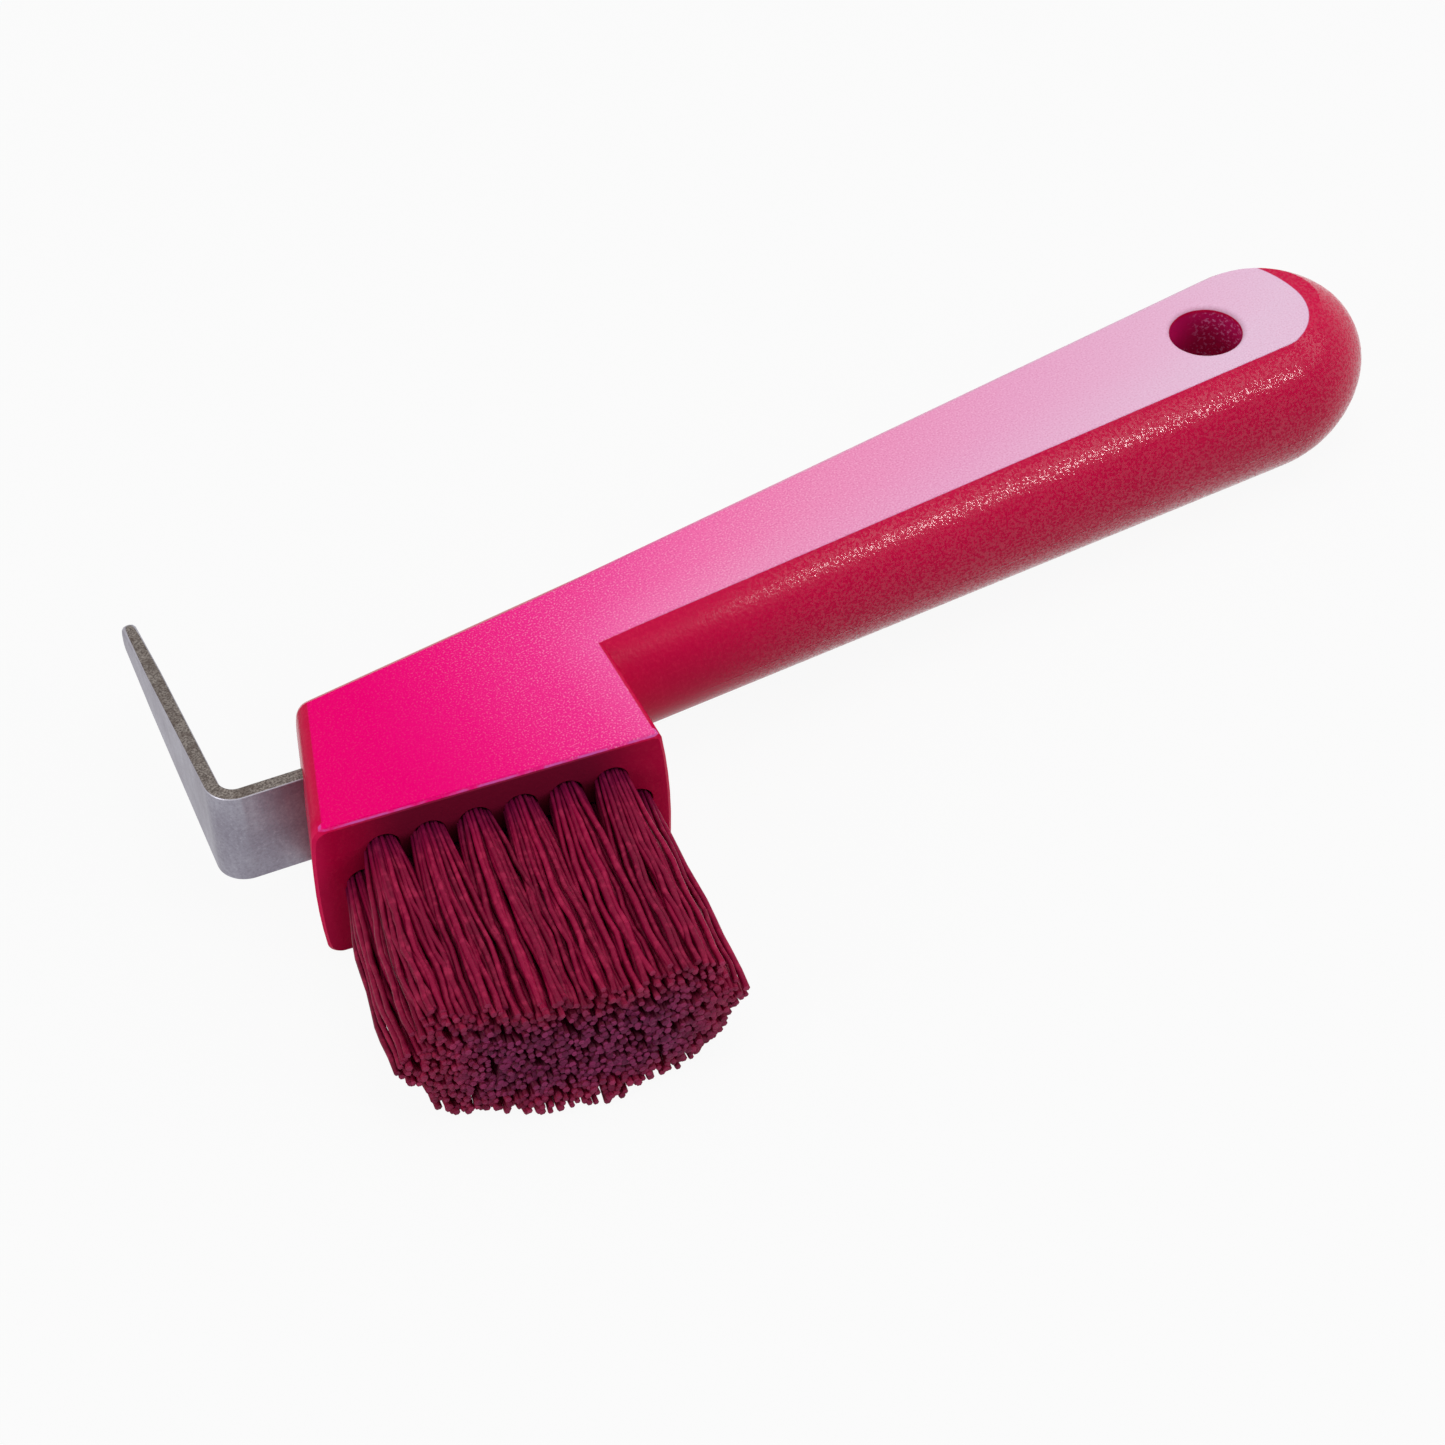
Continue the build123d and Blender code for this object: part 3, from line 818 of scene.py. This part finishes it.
def make_tuft(name, base, middle, materials, seed):
    """One tuft of fine filaments that opens from its hole and leans with its neighbours."""
    rng = random.Random(seed)
    offset = base - middle
    along, across = offset.dot(ALONG) / MM, offset.dot(ACROSS) / MM
    stray = STRAY * (1.0 if across > LOWER_ROW else LOWER_STRAY)
    clumps = make_clumps(rng)
    build = bmesh.new()
    layer = build.verts.layers.float_color.new("strand")
    for number in range(STRANDS):
        angle = number * GOLDEN_ANGLE + seed
        radius = sqrt((number + 0.5) / STRANDS)
        place = (radius * cos(angle), radius * sin(angle))
        near = min(clumps, key=lambda c: (c[0][0] - place[0]) ** 2 + (c[0][1] - place[1]) ** 2)
        pulled = [p + (q - p) * PULL * rng.uniform(*PULL_SPREAD) for p, q in zip(place, near[0])]
        # a round bundle opens to a squarish tuft, less so at the ends of the brush
        square = (cos(angle) ** 4 + sin(angle) ** 4) ** -0.25 - 1
        square = 1 + square * (1 - min(1.0, abs(along) / HALF_BRUSH) ** 3)
        root = (place[0] * BUNDLE_RADIUS, place[1] * BUNDLE_RADIUS)
        tip_u = BRUSH_LEAN + pulled[0] * square * TIP_ALONG + rng.gauss(0, stray)
        tip_v = BRUSH_DROOP + pulled[1] * square * TIP_ACROSS + across * FAN_ACROSS
        tip_v += rng.gauss(0, stray)
        to_end = (along + tip_u) / HALF_BRUSH
        to_side = (across + tip_v) / HALF_WIDTH
        noise = near[2] + rng.gauss(0, TRIM_NOISE + UPPER_TRIM_NOISE * max(0.0, to_side))
        height = strand_height(to_end, to_side, noise)
        tip_u -= HEEL_DRAW * max(0.0, to_end) ** 3
        flare = FLARE + HEEL_FLARE * max(0.0, to_end)
        bends = (near[1], wave(rng, *STRAND_BEND))
        points = strand_points(root, (tip_u, tip_v), height, flare, bends)
        tone = limit(0.5 + rng.gauss(0, TONE_SPREAD))
        far_end = abs(along + tip_u - BRUSH_LEAN) / HALF_BRUSH
        far_side = abs(across + tip_v - BRUSH_DROOP) / HALF_WIDTH
        inner = limit((INNER_END - max(far_end, far_side)) / INNER_FADE)
        add_strand(build, layer, points, base, (tone, near[3], inner), rng.uniform(*STOUTNESS))
    mesh = bpy.data.meshes.new(name)
    build.to_mesh(mesh)
    build.free()
    for material in materials:
        mesh.materials.append(material)
    take_over(bpy.data.objects.new(name.replace("tuft", "bristles"), mesh), name)


def take_over(piece, node):
    """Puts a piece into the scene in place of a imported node."""
    bpy.context.scene.collection.objects.link(piece)
    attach(piece, "root")
    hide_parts(node)


def make_brush():
    materials = (make_bristle(), make_bristle_end())
    bases = {name: tuft_base(name) for name in TUFTS}
    middle = sum(bases.values(), Vector((0, 0, 0))) / len(bases)
    for seed, name in enumerate(TUFTS):
        make_tuft(name, bases[name], middle, materials, seed + 1)


# ---------------------------------------------------------------- moulding and blade
NECK_RADIUS = 10.65
TAPER = 0.032904            # how fast the bar's radius grows from the neck outwards
HEAD_TAPER = 0.018328       # and from the neck towards the pick
BAR_END = 102.5             # just past where the bar's plain taper stops
RADIAL_CUTS = 48            # planes through the bar's axis
ON_SURFACE = 0.006          # how far off the bar's surface a corner may lie
LEVEL_NORMAL = 0.999        # height of the normal from which a face counts as level
WELD = 1e-7                 # metres


def bar_place(point):
    """How far along the bar's axis a point lies, its foot there, and its way out from it."""
    start = NECK - ACROSS * AXIS_DEPTH * MM
    axis = Vector((1, 0, -AXIS_SLOPE)).normalized()
    along = (point - start).dot(axis)
    foot = start + axis * along
    return along / MM, foot, point - foot


def bar_radius(along):
    return NECK_RADIUS + along * (TAPER if along > 0 else HEAD_TAPER)


def on_bar(point):
    along, _, out = bar_place(point)
    return along < BAR_END and abs(out.length / MM - bar_radius(along)) < ON_SURFACE


def cut_bar(build, mark):
    """Cuts the marked round faces along planes through the bar's axis."""
    start = NECK - ACROSS * AXIS_DEPTH * MM
    for cut in range(RADIAL_CUTS):
        angle = pi * (cut + 0.5) / RADIAL_CUTS
        normal = Vector((AXIS_SLOPE * sin(angle), cos(angle), sin(angle)))
        faces = [face for face in build.faces if face[mark]]
        edges = dict.fromkeys(edge for face in faces for edge in face.edges)
        verts = dict.fromkeys(vertex for face in faces for vertex in face.verts)
        bmesh.ops.bisect_plane(
            build, geom=[*faces, *edges, *verts], plane_co=start, plane_no=normal, dist=WELD
        )


def make_body(material):
    """The moulding with its round sides cut fine, so that they show no flats."""
    source = frame["nodes"]["handle_body"].data
    build = bmesh.new()
    build.from_mesh(source)
    layer = build.loops.layers.float_vector.new("normal")
    mark = build.faces.layers.int.new("round")
    corners = [loop for face in build.faces for loop in face.loops]
    for loop, normal in zip(corners, source.corner_normals):
        loop[layer] = Vector(normal.vector)
    bmesh.ops.remove_doubles(build, verts=build.verts, dist=WELD)
    for face in build.faces:
        level = abs(face.normal.z) > LEVEL_NORMAL
        face[mark] = int(not level and all(on_bar(vertex.co) for vertex in face.verts))
    cut_bar(build, mark)
    for face in build.faces:
        if not face[mark]:
            continue
        for loop in face.loops:
            along, foot, out = bar_place(loop.vert.co)
            loop[layer] = out.normalized()
            if all(other[mark] for other in loop.vert.link_faces):
                loop.vert.co = foot + out.normalized() * bar_radius(along) * MM
    normals = [tuple(loop[layer].normalized()) for face in build.faces for loop in face.loops]
    mesh = bpy.data.meshes.new("moulding")
    build.to_mesh(mesh)
    build.free()
    mesh.normals_split_custom_set(normals)
    mesh.materials.append(material)
    take_over(bpy.data.objects.new("moulding", mesh), "handle_body")


EDGE_ROUND = 0.24           # rounding of the strip's edges
TIP_SOFT = 0.80             # and of the edges round its tip
TIP_REACH = 1.9             # how far from the tip that goes
ROUND_STEPS = 3
SHARP = radians(50)         # between the faces of a sharp edge
COPLANAR = radians(0.5)     # between faces that count as one


def sharp_edges(build):
    edges = [edge for edge in build.edges if len(edge.link_faces) == 2]
    return [edge for edge in edges if edge.calc_face_angle() > SHARP]


def make_blade(material):
    """The steel strip with its sheared edges softened."""
    build = bmesh.new()
    build.from_mesh(frame["nodes"]["pick_blade"].data)
    bmesh.ops.remove_doubles(build, verts=build.verts, dist=WELD)
    bmesh.ops.dissolve_limit(
        build, angle_limit=COPLANAR, verts=build.verts, edges=build.edges, delimit=set()
    )
    tip = max(vertex.co.y for vertex in build.verts) - TIP_REACH * MM
    at_tip = [edge for edge in sharp_edges(build) if all(vertex.co.y > tip for vertex in edge.verts)]
    for edges, size in ((at_tip, TIP_SOFT), (None, EDGE_ROUND)):
        bmesh.ops.bevel(
            build, geom=edges or sharp_edges(build), offset=size * MM, segments=ROUND_STEPS,
            profile=0.5, affect="EDGES",
        )
    for face in build.faces:
        face.smooth = True
    mesh = bpy.data.meshes.new("blade")
    build.to_mesh(mesh)
    build.free()
    mesh.materials.append(material)
    piece = bpy.data.objects.new("blade", mesh)
    piece.modifiers.new("normals", "WEIGHTED_NORMAL").keep_sharp = True
    take_over(piece, "pick_blade")


# ---------------------------------------------------------------- the scene
def dress(name, material):
    """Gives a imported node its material."""
    mesh = frame["nodes"][name].data
    mesh.materials.clear()
    mesh.materials.append(material)


make_camera()
make_world()
make_floor()
# name, way to it as the camera sees it, distance and sides in metres, level
make_lamp("key", (0.775, 0.455, 0.440), 0.85, (0.36, 0.024), 0.15, lie=STREAK_LIE)
make_lamp("halo", (0.70, 0.40, 0.60), 0.90, (0.40, 0.24), 0.055, lie=STREAK_LIE)
make_lamp("top", (0.15, -0.10, 0.97), 0.90, (0.60, 0.60), 0.31)
make_lamp("right", (0.90, 0.05, 0.43), 0.90, (0.40, 0.40), 0.09)
make_lamp("left", (-0.75, 0.50, 0.35), 0.90, (0.40, 0.40), 0.29)
make_body(make_moulding())
make_blade(make_steel())
dress("tuft_anchors", make_wire())
make_brush()

bpy.context.scene.view_settings.view_transform = "Standard"
